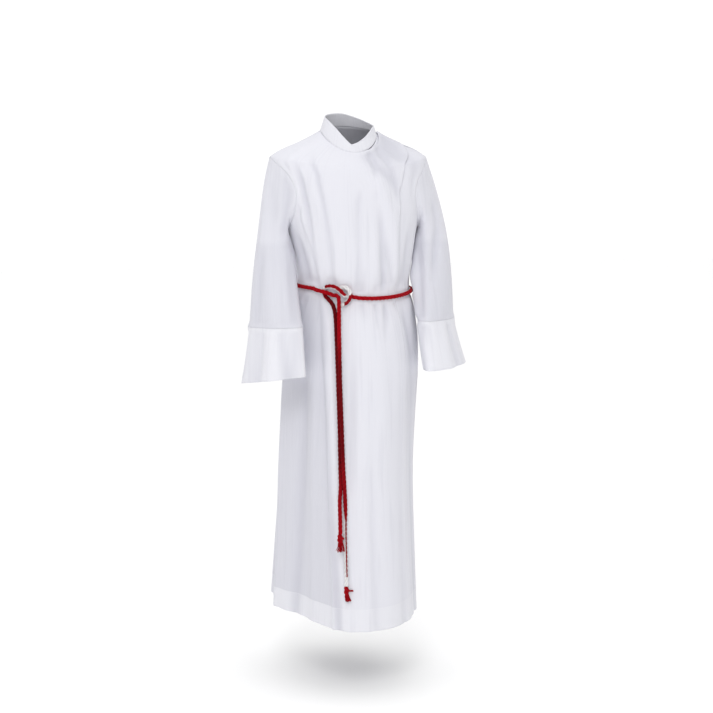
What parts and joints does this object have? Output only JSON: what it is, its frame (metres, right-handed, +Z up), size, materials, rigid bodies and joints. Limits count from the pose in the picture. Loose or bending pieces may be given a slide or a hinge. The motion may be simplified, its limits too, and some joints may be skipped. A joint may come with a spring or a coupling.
{
  "type": "alb robe",
  "caption": "Youth's front-wrap alb in its worn form, with a wrapped standing collar, wide cuffed sleeves and a knotted cord tied round the waist.",
  "frame": {"origin": "middle of the base of the neck, at the height where the shoulder seams meet the neckline", "axes": "+Z up; the wearer faces -Y; +X is the wearer's left"},
  "size_m": [0.5291, 0.4341, 1.127],
  "materials": {
    "front_wrap": "matt plain weave with faint upright slubs",
    "front_under": "matt plain weave with faint upright slubs",
    "back": "matt plain weave with faint upright slubs",
    "sleeve_right": "matt plain weave with faint upright slubs",
    "cuff_right": "matt plain weave with faint upright slubs",
    "sleeve_left": "matt plain weave with faint upright slubs",
    "cuff_left": "matt plain weave with faint upright slubs",
    "collar": "matt plain weave with faint upright slubs",
    "cincture_waist": "matt twisted yarn",
    "cincture_keeper": "matt twisted yarn",
    "cincture_tail_short": "matt twisted yarn",
    "end_knot_short": "matt knotted and frayed yarn",
    "cincture_tail_long": "matt twisted yarn",
    "end_knot_long": "matt knotted and frayed yarn"
  },
  "bodies": {
    "root": {"front_wrap": "front_wrap", "front_under": "front_under", "back": "back", "sleeve_right": "sleeve_right", "cuff_right": "cuff_right", "sleeve_left": "sleeve_left", "cuff_left": "cuff_left", "collar": "collar", "cincture_waist": "cincture_waist", "cincture_keeper": "cincture_keeper", "cincture_tail_short": "cincture_tail_short", "end_knot_short": "end_knot_short", "cincture_tail_long": "cincture_tail_long", "end_knot_long": "end_knot_long"}
  },
  "joints": []
}
